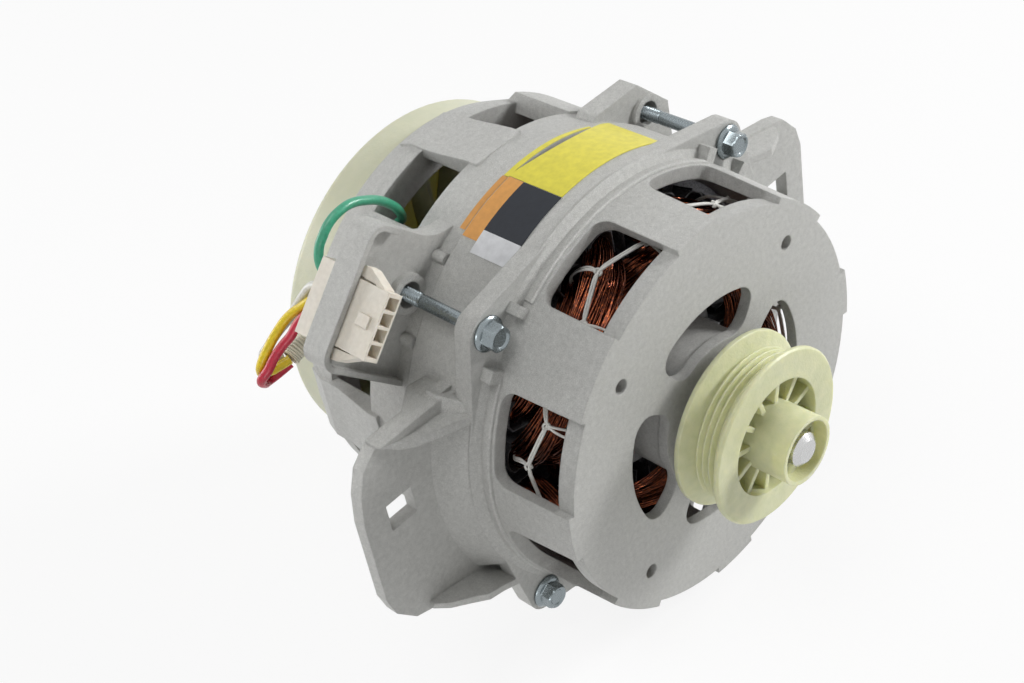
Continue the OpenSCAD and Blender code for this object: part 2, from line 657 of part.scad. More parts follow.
// Connector housing with four cavities, a latch and two spring wings
contacts = 4;
plug_mid = (plug_top + plug_bottom) / 2;
plug_radius = (plug_in + plug_out) / 2;
cavity_w = 4.1;
cavity_h = 4.6;
cavity_d = 14;
lead_bore_r = lead_r + 0.35;
lead_bore_d = 4;
function contact_at(k) = plug_mid + (k - (contacts - 1) / 2) * contact_pitch;
wing_y = 60;
wing = [[wing_y, -0.6], [wing_y, 0.3], [wing_y + 8, 4.2], [wing_y + 10.5, 4.4], [wing_y + 12, 3.4],
        [wing_y + 12, 0.9], [wing_y + 4, 0.3], [wing_y + 3, -0.6]];
module connector_housing() color([0.9, 0.88, 0.82]) at_angle(tray_angle) difference() {
    union() {
        translate([plug_in, plug_y0, plug_top])
            cube([plug_out - plug_in, plug_y1 - plug_y0, plug_bottom - plug_top]);
        translate([plug_in - 2, rear_lug_end_y + plug_gap, plug_top - 1.6])
            cube([plug_out - plug_in + 4, 6, plug_bottom - plug_top + 3.2]);
        translate([plug_out - 0.5, plug_y0 + 3, plug_mid - 2]) cube([1.4, 5, 4]);
        radial(plug_in + 0.8, plug_out - 0.8) translate([0, plug_bottom]) polygon(wing);
        radial(plug_in + 0.8, plug_out - 0.8) translate([0, plug_top]) mirror([0, 1]) polygon(wing);
    }
    for (k = [0:contacts - 1]) {
        translate([plug_radius - cavity_h / 2, plug_y0 - 1, contact_at(k) - cavity_w / 2])
            cube([cavity_h, cavity_d + 1, cavity_w]);
        translate([plug_radius, plug_y1 - lead_bore_d, contact_at(k)]) rotate([-90, 0, 0])
            cylinder(r = lead_bore_r, h = lead_bore_d + 1, $fn = 32);
    }
}
module connector_terminals() color(steel) at_angle(tray_angle) for (k = [0:contacts - 1])
    translate([plug_radius, plug_y0 + cavity_d - 8, contact_at(k)]) rotate([-90, 0, 0])
        difference() {
            cylinder(r = 1.3, h = 8, $fn = 24);
            translate([0, 0, -1]) cylinder(r = 0.9, h = 7, $fn = 24);
        }

// Routes of the leads, set by hand along what the eye can follow
earth_route = [[-75.3, 85, 72.2], [-75.3, 88.6, 72.2], [-74.6, 90.8, 73.8], [-72.6, 92.2, 77.4],
               [-70, 92, 81], [-66, 92, 84], [-61, 92, 85.3], [-56, 92.5, 84.6],
               [-50.5, 93, 82], [-44.8, 94, 78], [-40, 95, 73], [-36.2, 97, 67.6],
               [-33.6, 99.5, 62], [-32.9, 102.5, 58.6], [-34.6, 105.5, 56.1],
               [-34.6, 108.1, 56.1]];
yellow_route = [[-82.5, 85, 65], [-82.5, 88.7, 65], [-84.6, 92.2, 62.6], [-88.3, 95.8, 59.5],
                [-93.5, 97.4, 55.5], [-97.5, 98, 52], [-101, 98.7, 48], [-101.6, 99.7, 44.8],
                [-100, 101.3, 42], [-97.5, 101, 41], [-94.5, 100.2, 41.2], [-90.6, 98.9, 41.9]];
red_route = [[-86.1, 85, 61.5], [-86.1, 88.7, 61.5], [-88.4, 91.1, 59], [-91.7, 92.4, 55.4],
             [-94.6, 93.8, 53], [-98.1, 94.8, 50.2], [-101.6, 95.3, 46.9], [-103.9, 96.8, 44],
             [-101.7, 99.5, 39.6], [-98.8, 102.2, 37.1], [-94.5, 101.8, 37.5],
             [-90, 100.7, 38.9]];
white_route = [[-79, 85, 68.7], [-79, 88.7, 68.7], [-79.6, 91.8, 67.4], [-81.8, 94.6, 63.7],
               [-83.8, 97.2, 59.5], [-86.1, 99.6, 55.6], [-90.6, 102.2, 51.2],
               [-94.2, 103.8, 47.5], [-96.5, 104.6, 44.5], [-94.8, 103.9, 42.2],
               [-90.7, 102.5, 41.9]];
sleeve_route = [[-89.5, 100.5, 41], [-84.5, 100.5, 42.3], [-79.5, 100.3, 41.5], [-75, 99.5, 37],
                [-70.5, 98.5, 31], [-66, 97, 27], [-62, 96, 24.5]];
module earth_lead() color([0.3, 0.6, 0.45]) tube(earth_route, lead_r, 8);
module yellow_lead() color([0.85, 0.72, 0.2]) tube(yellow_route, lead_r, 8);
module red_lead() color([0.66, 0.13, 0.22]) tube(red_route, lead_r, 8);
module white_lead() color([0.9, 0.9, 0.86]) tube(white_route, lead_r, 8);
module lead_sleeve() color([0.88, 0.86, 0.76]) tube(sleeve_route, sleeve_r, 12);

// Labels on the skirt
module label(a0, a1) {
    difference() {
        turned_part([[skirt_r + fit, label_y0], [skirt_r + fit + label_t, label_y0],
                     [skirt_r + fit + label_t, label_y1], [skirt_r + fit, label_y1]], a0, a1);
        notch(skirt_r - 8, skirt_r + 4);
    }
}
module rating_label() color([0.9, 0.88, 0.3]) label(label_a0, label_a1 - 0.2);
module colour_label() color([0.88, 0.6, 0.3]) label(label_a1, label_a2);

// Thermal protector strapped to the rear end turns
module thermal_protector() color([0.2, 0.2, 0.22]) at_angle(252)
    translate([63.4, 88, -7]) cube([5, 14, 14]);

// Earth screw and its ring tag on the back ring
tag_t = 0.8;
earth_head_h = 2.4;
earth_head_r = 3.3;
module earth_screw() color(steel) at_angle(tag_angle) translate([tag_r, 0, 0])
    rotate([-90, 0, 0]) {
        translate([0, 0, back_ring_y - tag_t - earth_head_h])
            cylinder(r = earth_head_r, h = earth_head_h, $fn = 32);
        translate([0, 0, back_ring_y - tag_t - 1]) cylinder(r = earth_screw_r, h = 7, $fn = 24);
    }
module earth_tag() color(steel) at_angle(tag_angle)
    slab(back_ring_y - tag_t, back_ring_y) difference() {
        union() {
            translate([tag_r, 0]) circle(r = 3.7, $fn = 32);
            translate([tag_r - 2, -7.5]) square([4, 7]);
        }
        translate([tag_r, 0]) circle(r = earth_screw_r + fit, $fn = 24);
    }

// Ball bearings
ball_circle_r = (bearing_r0 + bearing_r1) / 2;
race_r = ball_r + loose + 0.05;
race_wall = 2.8;
module ring_race(r0, r1, y) {
    difference() {
        turned([[r0, y], [r1, y], [r1, y + bearing_w], [r0, y + bearing_w]]);
        translate([0, y + bearing_w / 2, 0]) rotate([-90, 0, 0]) rotate_extrude()
            translate([ball_circle_r, 0]) circle(r = race_r, $fn = 32);
    }
}
module outer_ring(y) color(steel) ring_race(bearing_r1 - race_wall, bearing_r1, y);
module inner_ring(y) color(steel) ring_race(bearing_r0, bearing_r0 + race_wall, y);
module ball_set(y) color(steel) for (k = [0:balls - 1]) at_angle(k * 360 / balls)
    translate([ball_circle_r, y + bearing_w / 2, 0]) sphere(r = ball_r, $fn = 32);
cage_t = 1.6;
module ball_cage(y) color([0.35, 0.25, 0.12]) difference() {
    turned([[ball_circle_r - cage_t / 2, y + 2], [ball_circle_r + cage_t / 2, y + 2],
            [ball_circle_r + cage_t / 2, y + bearing_w - 2],
            [ball_circle_r - cage_t / 2, y + bearing_w - 2]]);
    for (k = [0:balls - 1]) at_angle(k * 360 / balls)
        translate([ball_circle_r - 3, y + bearing_w / 2, 0]) rotate([0, 90, 0])
        cylinder(r = ball_r + 0.1, h = 6, $fn = 32);
}
module front_bearing_outer_ring() outer_ring(front_bearing_y);
module rear_bearing_outer_ring() outer_ring(rear_bearing_y);
module front_bearing_inner_ring() inner_ring(front_bearing_y);
module rear_bearing_inner_ring() inner_ring(rear_bearing_y);
module front_bearing_balls() ball_set(front_bearing_y);
module rear_bearing_balls() ball_set(rear_bearing_y);
module front_bearing_cage() ball_cage(front_bearing_y);
module rear_bearing_cage() ball_cage(rear_bearing_y);

// Preload washer behind the rear bearing
washer_y = rear_bearing_y + bearing_w;
module wave_washer() color(steel)
    turned([[bearing_r1 - 4, washer_y], [bearing_r1 - 0.5, washer_y],
            [bearing_r1 - 0.5, 116], [bearing_r1 - 4, 116]]);

// Shaft with a chamfer at each end and shoulders against the bearings
tip = 2;
module shaft() color(steel) turned([[0, shaft_y0], [shaft_end_r - tip, shaft_y0],
    [shaft_end_r, shaft_y0 + tip - 0.4], [shaft_end_r, -2], [bearing_r0 - fit, -1],
    [bearing_r0 - fit, front_bearing_y + bearing_w], [shaft_mid_r, front_bearing_y + bearing_w],
    [shaft_mid_r, rear_bearing_y], [bearing_r0 - fit, rear_bearing_y],
    [bearing_r0 - fit, 120], [shaft_end_r, 121], [shaft_end_r, shaft_y1 - 1],
    [shaft_end_r - 1, shaft_y1], [0, shaft_y1]]);

rotor_r = stator_bore_r - air_gap;
bar_r = 1.9;
bar_circle_r = 32.5;
bars = 28;
module rotor_core() color(steel) slab(stack_y0, stack_y1) difference() {
    circle(r = rotor_r, $fn = 144);
    circle(r = shaft_mid_r + fit);
    for (k = [0:bars - 1]) rotate(k * 360 / bars) translate([bar_circle_r, 0])
        circle(r = bar_r + fit, $fn = 16);
}
cage_blades = 8;
ring_r1 = 35;
ring_r0 = 24;
module end_ring(y0, y1) {
    turned([[ring_r0, y0], [ring_r1, y0], [ring_r1, y1], [ring_r0, y1]]);
}
module rotor_cage() color([0.75, 0.76, 0.78]) {
    end_ring(stack_y0 - end_ring_l, stack_y0);
    end_ring(stack_y1, stack_y1 + end_ring_l);
    for (k = [0:bars - 1]) at_angle(k * 360 / bars)
        translate([bar_circle_r, stack_y0 - 1, 0]) rotate([-90, 0, 0])
        cylinder(r = bar_r, h = stack_y1 - stack_y0 + 2, $fn = 16);
    for (k = [0:cage_blades - 1]) at_angle(k * 360 / cage_blades) {
        translate([ring_r0 + 2, stack_y0 - end_ring_l - 6, -1]) cube([8, 7, 2]);
        translate([ring_r0 + 2, stack_y1 + end_ring_l - 1, -1]) cube([8, 7, 2]);
    }
}

// Belt pulley: grooved drum between two flanges, spoked recess, long hub
flange_edge = 1.6;
drum_y1 = pulley_y1 - 3.2;
drum_y0 = pulley_y0 + 4.6;
groove_pitch = (drum_y1 - drum_y0) / grooves;
web_y = pulley_y1 - 4.5;
hub_bore_r = 10.6;
hub_bore_l = 5;
hub_slot_w = 2.2;
hub_slot_l = 4.5;
spoke_t = 1.8;
groove_line = [for (i = [0:grooves - 1]) each
    [[pulley_rib_r, drum_y0 + groove_pitch * i + 0.15],
     [pulley_rib_r - groove_depth, drum_y0 + groove_pitch * (i + 0.4)],
     [pulley_rib_r - groove_depth, drum_y0 + groove_pitch * (i + 0.6)],
     [pulley_rib_r, drum_y0 + groove_pitch * (i + 1) - 0.15]]];
pulley_line = concat(
    [[shaft_end_r + fit, pulley_hub_y + hub_bore_l], [hub_bore_r, pulley_hub_y + hub_bore_l],
     [hub_bore_r, pulley_hub_y], [pulley_hub_r, pulley_hub_y], [pulley_hub_r, web_y],
     [pulley_recess_r, web_y], [pulley_recess_r, pulley_y0], [pulley_r - 0.6, pulley_y0],
     [pulley_r, pulley_y0 + 0.6], [pulley_r, pulley_y0 + flange_edge]],
    groove_line,
    [[pulley_r, pulley_y1 - flange_edge], [pulley_r, pulley_y1], [shaft_end_r + fit, pulley_y1]]);
module pulley() color(nylon) difference() {
    union() {
        turned(pulley_line);
        for (k = [0:pulley_spokes - 1]) at_angle(360 * (k + 0.5) / pulley_spokes)
            translate([pulley_hub_r - 0.5, pulley_y0 + 2, -spoke_t / 2])
            cube([pulley_recess_r - pulley_hub_r + 1, web_y - pulley_y0 - 1.5, spoke_t]);
    }
    for (k = [0:7]) at_angle(45 * k)
        translate([shaft_end_r - 2, pulley_hub_y + hub_bore_l - 1, -hub_slot_w / 2])
        cube([5, hub_slot_l + 1, hub_slot_w]);
}

// Fan: a bowl with radial vanes, open to the motor
fan_corner = 3;
fan_line = concat(
    [[shaft_end_r + fit, fan_y0 - 2], [fan_hub_r, fan_y0 - 2], [fan_hub_r, fan_y1 - 2 - fan_t],
     [fan_r - fan_corner, fan_y1 - fan_t]],
    arc([fan_r - fan_corner, fan_y1 - fan_corner], fan_corner - fan_t, 75, 0, 4),
    [[fan_r - fan_t, fan_y0], [fan_r, fan_y0]],
    arc([fan_r - fan_corner, fan_y1 - fan_corner], fan_corner, 0, 90, 6),
    [[fan_hub_r, fan_y1 - 2], [shaft_end_r + fit, fan_y1 - 2]]);
module fan() color(nylon) {
    turned(fan_line);
    for (k = [0:fan_vanes - 1]) at_angle(360 * k / fan_vanes)
        translate([fan_hub_r - 0.5, fan_y0 + 1.5, -0.8])
        cube([fan_r - fan_hub_r - fan_t + 1, fan_y1 - fan_y0 - 3 - fan_t, 1.6]);
}
module fan_clip() color(steel)
    turned([[shaft_end_r + fit, fan_y1 - 2], [9.5, fan_y1 - 2], [9.5, fan_y1 - 1],
            [shaft_end_r + fit, fan_y1 - 1]]);

echo(least_gap_main = self_gap(main_path(0), bundle_r),
     least_gap_start = self_gap(start_path(45), bundle_r),
     least_gap_lacing = self_gap(lacing_path, lacing_r));

front_shield();
rear_shield();
stator_core();
slot_liners();
main_winding();
start_winding();
lacing_cord();
through_bolts();
connector_housing();
connector_terminals();
earth_lead();
yellow_lead();
red_lead();
white_lead();
lead_sleeve();
rating_label();
colour_label();
thermal_protector();
earth_screw();
earth_tag();
front_bearing_outer_ring();
rear_bearing_outer_ring();
wave_washer();
front_bearing_inner_ring();
rear_bearing_inner_ring();
front_bearing_balls();
rear_bearing_balls();
front_bearing_cage();
rear_bearing_cage();
shaft();
rotor_core();
rotor_cage();
pulley();
fan();
fan_clip();
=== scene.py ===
# A washing machine motor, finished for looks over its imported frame.
# Sizes are in millimetres and divided by 1000 where Blender takes them.
import math
import random

import bmesh
import bpy
from mathutils import Matrix, Vector


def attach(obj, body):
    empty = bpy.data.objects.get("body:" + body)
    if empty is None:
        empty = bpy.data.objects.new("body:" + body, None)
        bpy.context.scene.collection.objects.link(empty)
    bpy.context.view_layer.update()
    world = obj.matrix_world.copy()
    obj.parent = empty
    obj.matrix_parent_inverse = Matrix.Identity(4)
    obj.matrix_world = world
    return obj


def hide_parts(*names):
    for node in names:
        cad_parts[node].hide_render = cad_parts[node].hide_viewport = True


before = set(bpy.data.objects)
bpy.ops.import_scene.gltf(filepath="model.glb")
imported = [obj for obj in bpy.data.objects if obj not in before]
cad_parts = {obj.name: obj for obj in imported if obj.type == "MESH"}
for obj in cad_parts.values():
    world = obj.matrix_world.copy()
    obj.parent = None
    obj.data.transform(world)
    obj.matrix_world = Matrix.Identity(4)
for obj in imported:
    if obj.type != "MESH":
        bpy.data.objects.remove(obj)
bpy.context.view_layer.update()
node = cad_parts


# The studio: a white sweep that shows plain white to the camera and in all mirror-like
# surfaces, while the lamps stay at a level true to the colours. It is laid out in metres.
def set_values(n, values):
    for key, value in values.items():
        n.inputs[key.replace("_", " ")].default_value = value
    return n


def lay_out(tree, kind, **values):
    """A new shader node with the named inputs set."""
    return set_values(tree.nodes.new(kind), values)


def surface(name, colour, rough, metal=0.0, **more):
    m = bpy.data.materials.new(name)
    m.use_nodes = True
    set_values(m.node_tree.nodes["Principled BSDF"],
               {"Base Color": (*colour, 1), "Roughness": rough, "Metallic": metal, **more})
    return m


def combined(tree, operation, first, second):
    """A Math node on two sources, each a socket or a number."""
    n = tree.nodes.new("ShaderNodeMath")
    n.operation = operation
    for socket, source in zip(n.inputs, (first, second)):
        if isinstance(source, float):
            socket.default_value = source
        else:
            tree.links.new(source, socket)
    return n.outputs[0]


def seen_straight(tree):
    """1 for what the camera sees, also in a mirror or through glass, and 0 for other light."""
    ray = tree.nodes.new("ShaderNodeLightPath").outputs
    mirrored = combined(tree, "MAXIMUM", ray["Is Camera Ray"], ray["Is Glossy Ray"])
    return combined(tree, "MAXIMUM", mirrored, ray["Is Transmission Ray"])


def shared(tree, share, first, second, out):
    """The share says how much of the second shader goes to the output, the rest is the first."""
    mix = tree.nodes.new("ShaderNodeMixShader")
    for socket, source in zip(mix.inputs, (share, first.outputs[0], second.outputs[0])):
        tree.links.new(source, socket)
    tree.links.new(mix.outputs[0], out.inputs[0])


PLAIN_WHITE = (1.0, 1.0, 1.0, 1)
SKY_LIGHT = 0.11
bpy.context.scene.view_settings.view_transform = "Standard"
world = bpy.data.worlds.new("studio")
bpy.context.scene.world = world
world.use_nodes = True
sky = world.node_tree
sky.nodes.clear()
shared(sky, seen_straight(sky),
       lay_out(sky, "ShaderNodeBackground", Color=PLAIN_WHITE, Strength=SKY_LIGHT),
       lay_out(sky, "ShaderNodeBackground", Color=PLAIN_WHITE, Strength=1.0),
       sky.nodes.new("ShaderNodeOutputWorld"))

FLOOR_WIDTH = 120
FLOOR_Z = -0.0797
FLOOR_GLOW = 0.88
bpy.ops.mesh.primitive_plane_add(size=FLOOR_WIDTH, location=(0, 0, FLOOR_Z))
floor = bpy.context.object
floor.name = "floor"
sweep = surface("white_sweep", (0.86, 0.86, 0.86), 0.9)
tree = sweep.node_tree
shared(tree, combined(tree, "MULTIPLY", seen_straight(tree), FLOOR_GLOW),
       tree.nodes["Principled BSDF"],
       lay_out(tree, "ShaderNodeEmission", Color=PLAIN_WHITE, Strength=1.0),
       tree.nodes["Material Output"])
floor.data.materials.append(sweep)

LAMP_AIM = Vector((0, 0.05, 0))


def lamp(name, place, size, power):
    light = bpy.data.lights.new(name, "AREA")
    light.shape = "DISK"
    light.size = size
    light.energy = power
    o = bpy.data.objects.new(name, light)
    bpy.context.scene.collection.objects.link(o)
    o.location = place
    o.rotation_euler = (LAMP_AIM - Vector(place)).to_track_quat("-Z", "Y").to_euler()


lamp("key", (1.25, -0.72, 0.6), size=0.5, power=21.5)
lamp("top", (-0.35, 0.1, 1.2), size=0.8, power=6.5)
lamp("side", (-1.1, -0.8, -0.05), size=0.6, power=5.0)
lamp("back", (-0.6, 1.2, 0.35), size=0.6, power=6.0)

camera = bpy.data.objects.new("camera", bpy.data.cameras.new("camera"))
bpy.context.scene.collection.objects.link(camera)
camera.data.sensor_width = 36
camera.data.lens = 59.453
camera.data.clip_start = 0.01
camera.matrix_world = Matrix((
    (0.67883, 0.55275, -0.48338, -0.302362),
    (-0.71598, 0.35215, -0.60280, -0.278680),
    (-0.16297, 0.75529, 0.63480, 0.380471),
    (0, 0, 0, 1)))
bpy.context.scene.camera = camera


# The stator stack: a few dozen punched sheets of electrical steel, welded together and
# left bare. Its edge shows as fine lines round the circumference.
EDGE_SAMPLES = 4


def field(m, kind, size, stretch=(1, 1, 1), **values):
    """A procedural pattern in the piece's own place, its features about size mm across."""
    t = m.node_tree
    place = t.nodes.new("ShaderNodeTexCoord")
    scale = t.nodes.new("ShaderNodeMapping")
    scale.inputs["Scale"].default_value = [s * 1000 / size for s in stretch]
    pattern = lay_out(t, kind, **values)
    t.links.new(place.outputs["Object"], scale.inputs[0])
    t.links.new(scale.outputs[0], pattern.inputs["Vector"])
    return pattern


def clouds(m, size, stretch=(1, 1, 1), **values):
    return field(m, "ShaderNodeTexNoise", size, stretch, **values).outputs["Fac"]


def relief(m, source, depth, round_edge=0.0):
    """The pattern raises the surface by depth mm; sharp edges are rounded over round_edge mm."""
    t = m.node_tree
    bump = lay_out(t, "ShaderNodeBump", Distance=depth / 1000, Strength=1.0)
    t.links.new(source, bump.inputs["Height"])
    if round_edge:
        soft_edge = lay_out(t, "ShaderNodeBevel", Radius=round_edge / 1000)
        soft_edge.samples = EDGE_SAMPLES
        t.links.new(soft_edge.outputs[0], bump.inputs["Normal"])
    t.links.new(bump.outputs[0], t.nodes["Principled BSDF"].inputs["Normal"])


def tint(m, source, *stops, into="Base Color"):
    """Colours or values along a pattern: (position, value) pairs."""
    t = m.node_tree
    ramp = t.nodes.new("ShaderNodeValToRGB")
    while len(ramp.color_ramp.elements) < len(stops):
        ramp.color_ramp.elements.new(0.5)
    for e, (at, value) in zip(ramp.color_ramp.elements, stops):
        e.position = at
        e.color = (*value, 1) if isinstance(value, tuple) else (value, value, value, 1)
    t.links.new(source, ramp.inputs[0])
    t.links.new(ramp.outputs[0], t.nodes["Principled BSDF"].inputs[into])


def dress(m, *names):
    for name in names:
        for s in node[name].material_slots:
            s.material = m


sheet_steel = surface("sheet_steel", (0.16, 0.16, 0.17), 0.45, 0.8)
sheets = field(sheet_steel, "ShaderNodeTexWave", 0.5, (0, 1, 0), Scale=0.3, Distortion=0.4)
sheets.bands_direction = "Y"
relief(sheet_steel, sheets.outputs["Fac"], 0.08)
tint(sheet_steel, clouds(sheet_steel, 3), (0.35, (0.10, 0.10, 0.11)), (0.65, (0.20, 0.20, 0.21)))
dress(sheet_steel, "stator_core", "rotor_core")


# The slot liners: folded grey polyester film, one in each of the 24 slots, drawn out of the
# stack at both ends and turned outward round the bundle like a collar.
def placed(name, shape, stands_for=()):
    """An object of this shape on the stator, in place of the solids that it stands for."""
    o = bpy.data.objects.new(name, shape)
    bpy.context.scene.collection.objects.link(o)
    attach(o, "stator")
    if stands_for:
        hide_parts(*stands_for)
    return o


def solid(name, shape, m, stands_for=(), smooth=40):
    """Edges sharper than smooth degrees stay sharp."""
    verts, faces = shape
    mesh = bpy.data.meshes.new(name)
    mesh.from_pydata([Vector(v) / 1000 for v in verts], [], faces)
    clean = bmesh.new()
    clean.from_mesh(mesh)
    bmesh.ops.recalc_face_normals(clean, faces=clean.faces)
    clean.to_mesh(mesh)
    clean.free()
    for p in mesh.polygons:
        p.use_smooth = True
    mesh.set_sharp_from_angle(angle=math.radians(smooth))
    mesh.materials.append(m)
    placed(name, mesh, stands_for)


def polar(r, degrees, y):
    a = math.radians(degrees)
    return Vector((r * math.cos(a), y, r * math.sin(a)))


SLOTS = 24
SLOT_STEP = 360 / SLOTS
TOOTH_HALF = 2.6
STACK_FRONT, STACK_REAR = 40.0, 80.0
LINER_T = 0.4


def slot_half(r):
    return r * math.sin(math.radians(SLOT_STEP / 2)) - TOOTH_HALF


def collar(a, y_stack, out):
    """The film of the slot at angle a, drawn from the stack face to its flared rim."""
    # One side of the slot from the bore outward: radius, and how far the corner draws it in
    side_line = [(43.0, 0.0), (50.0, 0.0), (57.0, 0.0), (61.0, 0.0), (62.9, 0.35), (63.4, 0.7),
                 (63.4, 1.0)]
    corner_r = 61.5
    # Along the film: way out of the stack, flare of its outer part, droop of its inner part
    stations = [(-3.0, 0.0, 0.0), (0.0, 0.0, 0.0), (2.5, 0.1, 0.0), (4.6, 0.5, 0.35),
                (5.8, 1.1, 0.8)]
    outer_from, outer_over = 52, 10
    flare_out, flare_wide, droop_in = 0.7, 0.05, 2
    flat_half = 0.6
    shape = [(r, -slot_half(min(r, corner_r)) * (1 - f)) for r, f in side_line]
    shape += [(r, -t) for r, t in reversed(shape[:-1])]
    across = Vector((-math.sin(math.radians(a)), 0, math.cos(math.radians(a))))
    verts, faces = [], []
    for run, flare, droop in stations:
        for inward in (0.0, LINER_T):
            for r, t in shape:
                outer = min(1.0, max(0.0, (r - outer_from) / outer_over))
                rr = r - inward * outer + flare * outer * flare_out
                rr -= droop * (1 - outer) * droop_in
                tt = t * (1 + flare * flare_wide)
                tt -= math.copysign(inward, t) * (abs(t) > flat_half)
                verts.append(polar(rr, a, y_stack + out * run) + across * tt)
    n = len(shape)
    last = (len(stations) - 1) * 2 * n
    for base in range(0, last, 2 * n):
        for p in [base + side + k for side in (0, n) for k in range(n - 1)]:
            faces.append((p, p + 1, p + 2 * n + 1, p + 2 * n))
    for p in range(last, last + n - 1):
        faces.append((p, p + 1, p + n + 1, p + n))
    for base in range(0, last, 2 * n):
        for p in (base, base + n - 1):
            faces.append((p, p + n, p + 3 * n, p + 2 * n))
    return verts, faces


def gathered(parts):
    """Several shapes as one."""
    verts, faces = [], []
    for v, f in parts:
        base = len(verts)
        verts += v
        faces += [tuple(i + base for i in g) for g in f]
    return verts, faces


liner_film = surface("liner_film", (0.10, 0.10, 0.105), 0.3, Specular_IOR_Level=0.6)
relief(liner_film, clouds(liner_film, 6), 0.5)
tint(liner_film, clouds(liner_film, 4), (0.3, (0.06, 0.06, 0.065)), (0.7, (0.13, 0.13, 0.135)))
collars = [collar(SLOT_STEP * (k + 0.5), y, out)
           for k in range(SLOTS) for y, out in ((STACK_FRONT, -1), (STACK_REAR, 1))]
solid("slot_collars", gathered(collars), liner_film, ("slot_liners",))


# The windings: enamelled copper wire, wound as loose bundles that leave one slot, turn over
# beyond the stack and go down another. Four main coils stand round the bolts, and four start
# coils lie inside and between them.
BOLT_ANGLES = (45, 135, 225, 315)
QUARTER_ANGLES = (0, 90, 180, 270)
NEAR, FAR = 1.5 * SLOT_STEP, 2.5 * SLOT_STEP
FRONT, REAR = STACK_FRONT - 1, STACK_REAR + 1
MAIN_OUTER, MAIN_INNER, START_R = 60.6, 55.0, 47.0
FIRST_REACH, REACH_STEP = 9.0, 6.0
TURN_STEPS, LAST_TURN_STEPS = 10, 7
OFF_ZERO = 0.0001
MAIN_WIRE_R, START_WIRE_R = 0.30, 0.32

# Each stop of a strand: angle from the middle of the coil, radius in the slot, and the layer
# of the turn that leads there
MAIN_STOPS = [(-NEAR, MAIN_OUTER, 0), (NEAR, MAIN_OUTER, 0), (-NEAR, MAIN_INNER, 0),
              (NEAR, MAIN_INNER, 0), (-FAR, MAIN_OUTER, 1), (FAR, MAIN_OUTER, 1),
              (-FAR, MAIN_INNER, 2), (FAR, MAIN_INNER, 1), (-FAR, MAIN_INNER, 3)]
START_STOPS = [(-NEAR, START_R, 0), (NEAR, START_R, 0), (-FAR, START_R, 0), (FAR, START_R, 1),
               (-FAR, START_R, 1)]


def end_turn(a, b, ra, rb, y, reach, full, last):
    """One turn beyond the stack; full near 0.5 is square, 1 is round and above it is pointed."""
    run = []
    for i in range(last + 1):
        f = math.pi * i / TURN_STEPS
        c = math.cos(f)
        t = (1 - math.copysign(abs(c) ** full, c)) / 2
        run.append(polar(ra + (rb - ra) * t, a + (b - a) * t,
                         y + reach * (abs(math.sin(f)) + OFF_ZERO) ** full))
    return run


def wound(stops, centre, full, lift):
    """A strand from stop to stop, behind and in front of the stack by turns."""
    run = [polar(stops[0][1], centre + stops[0][0], FRONT)]
    for k in range(1, len(stops)):
        (a, ra, _), (b, rb, layer) = stops[k - 1], stops[k]
        y, out = (REAR, 1) if k % 2 else (FRONT, -1)
        reach = out * (FIRST_REACH + REACH_STEP * layer) * lift
        last = TURN_STEPS if k < len(stops) - 1 else LAST_TURN_STEPS
        run += end_turn(centre + a, centre + b, ra, rb, y, reach, full, last)
    return run


def eased(run, cuts):
    """The same run with cuts points to each piece, on a smooth line."""
    out = []
    for i in range(len(run) - 1):
        a, b, c, d = run[max(i - 1, 0)], run[i], run[i + 1], run[min(i + 2, len(run) - 1)]
        for k in range(cuts):
            t = k / cuts
            out.append(0.5 * (2 * b + (c - a) * t + (2 * a - 5 * b + 4 * c - d) * t * t
                              + (3 * b - a - 3 * c + d) * t ** 3))
    return out + [run[-1]]


def heading(run, i):
    """The way on at a point of the run."""
    return (run[min(i + 1, len(run) - 1)] - run[max(i - 1, 0)]).normalized()


def wires(name, runs, thick, m, stands_for=(), sides=1):
    """Each run as a round wire, thick mm in radius."""
    curve = bpy.data.curves.new(name, "CURVE")
    curve.dimensions = "3D"
    curve.bevel_depth = thick / 1000
    curve.bevel_resolution = sides
    curve.use_fill_caps = True
    for run in runs:
        line = curve.splines.new("POLY")
        line.points.add(len(run) - 1)
        for p, v in zip(line.points, run):
            p.co = (v[0] / 1000, v[1] / 1000, v[2] / 1000, 1)
        line.use_smooth = True
    curve.materials.append(m)
    placed(name, curve, stands_for)


def bundle(stops, centre, count, spread):
    """Strands of one coil: they keep side by side in the slots and fan out beyond the stack,
    each on a turn of its own height and fullness."""
    strand_turn = 222.5
    outer_ring, inner_ring, outer_share = 0.93, 0.5, 0.62
    in_slot, fan_over = 0.72, 7
    sway, sway_step = 16, 9
    swell, swell_step = 0.07, 23
    deep, wide = 0.82, 1.12
    out = []
    for k in range(count):
        run = eased(wound(stops, centre, chance.uniform(0.75, 1.3), chance.uniform(0.86, 1.06)), 2)
        ring = outer_ring if k < count * outer_share else inner_ring
        angle, phase, speed = strand_turn * k, chance.uniform(0, 360), chance.uniform(0.6, 1.4)
        strand = []
        for i, p in enumerate(run):
            ahead = heading(run, i)
            outward = Vector((p.x, 0, p.z)).normalized()
            outward = (outward - outward.dot(ahead) * ahead).normalized()
            across = ahead.cross(outward)
            clear = max(FRONT - 1 - p.y, p.y - REAR - 1, 0)
            fan = in_slot + (1 - in_slot) * min(clear / fan_over, 1)
            a = math.radians(angle + sway * math.sin(math.radians(phase + i * sway_step * speed)))
            w = spread * fan * (ring + swell
                                * math.sin(math.radians(phase * 2 + i * swell_step * speed)))
            strand.append(p + outward * w * deep * math.cos(a) + across * w * wide * math.sin(a))
        out.append(strand)
    return out


